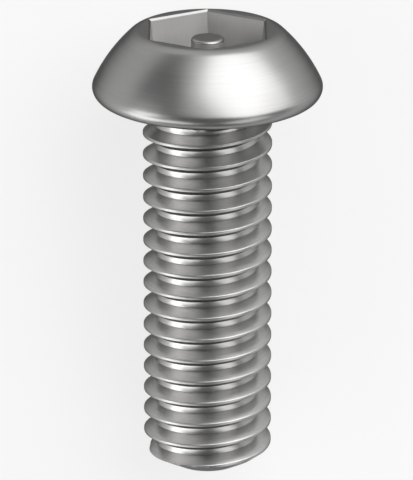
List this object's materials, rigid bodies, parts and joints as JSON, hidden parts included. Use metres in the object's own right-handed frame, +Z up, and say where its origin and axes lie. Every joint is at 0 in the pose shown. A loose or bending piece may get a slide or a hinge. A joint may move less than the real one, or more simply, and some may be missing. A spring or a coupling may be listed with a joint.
{
  "type": "button head screw",
  "caption": "Machine screw with a low domed head, a hexagon socket with a centre pin, and a short fully threaded shank with a chamfered tip.",
  "frame": {"origin": "centre of the bearing face under the head, on the screw's own axis", "axes": "+Z up; the screw lies on its side, with its axis in the YZ plane, the head towards +Y and the tip towards -Y, and the axis dips 7.66 degrees towards the tip because it rests on the head's rim and on the thread near the tip"},
  "size_m": [0.007, 0.0144, 0.0071],
  "materials": {
    "steel": "satin"
  },
  "bodies": {
    "root": {"screw": "steel"}
  },
  "joints": []
}
